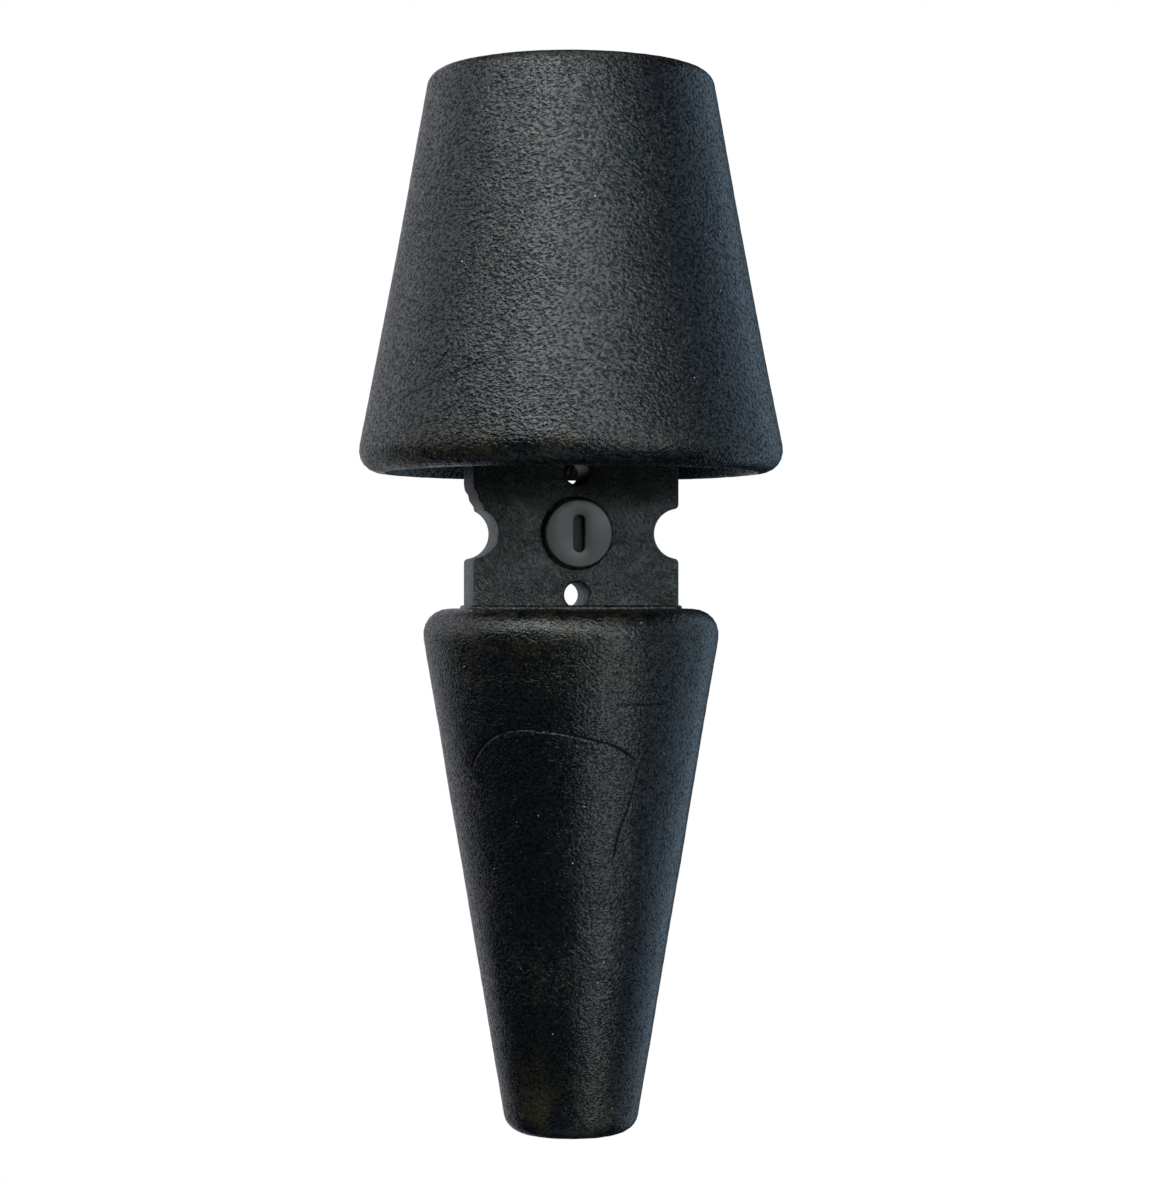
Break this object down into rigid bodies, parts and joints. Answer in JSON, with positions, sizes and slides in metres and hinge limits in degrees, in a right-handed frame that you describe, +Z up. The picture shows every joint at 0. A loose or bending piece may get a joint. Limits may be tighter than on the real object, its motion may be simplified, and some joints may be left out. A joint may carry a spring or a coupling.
{
  "type": "stake drip emitter",
  "caption": "Drip emitter on a tapered soft stake, with a flat neck plate, a slotted flow plug in its middle and a lift-off bell that covers the emitter cartridge.",
  "frame": {"origin": "centre of the blunt tip of the stake, in the plane of its end face", "axes": "+Z up the common axis of stake and bell; X across the flat neck plate; the flow plug's head faces -Y"},
  "size_m": [0.0424, 0.0424, 0.1056],
  "materials": {
    "stake_rubber": "leather-grained, semi-matte",
    "bell_rubber": "leather-grained, satin",
    "frame_plastic": "coarse flow grain, satin",
    "plug_plastic": "smooth, satin gloss",
    "cartridge_plastic": "fine spark texture",
    "hub_plastic": "fine spark texture",
    "labyrinth_plastic": "smooth",
    "strainer_plastic": "natural",
    "silicone": "matte, slightly translucent",
    "seal_rubber": "matte",
    "stainless": "drawn wire and turned screws"
  },
  "bodies": {
    "root": {"stake_cone": "stake_rubber", "core_frame": "frame_plastic", "cartridge_base": "cartridge_plastic", "inlet_strainer": "strainer_plastic", "labyrinth_disc": "labyrinth_plastic", "cartridge_cover": "cartridge_plastic", "cover_seal": "seal_rubber", "outlet_seal": "seal_rubber", "saddle_screws": "stainless", "grip_ring": "seal_rubber"},
    "diaphragm_body": {"diaphragm": "silicone"},
    "bell": {"bell_cap": "bell_rubber", "bell_hub": "hub_plastic"},
    "plug": {"flow_plug": "plug_plastic", "plug_seals": "seal_rubber", "plug_clip": "stainless"}
  },
  "joints": [
    {"name": "plug_turn", "type": "hinge", "parent": "root", "child": "plug", "pos_m": [0, 0, 0.0596], "axis": [0, -1, 0], "range_deg": [0, 90]},
    {"name": "bell_lift", "type": "slide", "parent": "root", "child": "bell", "axis": [0, 0, 1], "range_m": [0, 0.035]},
    {"name": "diaphragm_lift", "type": "slide", "parent": "root", "child": "diaphragm_body", "axis": [0, 0, 1], "range_m": [0, 0.0004]}
  ]
}
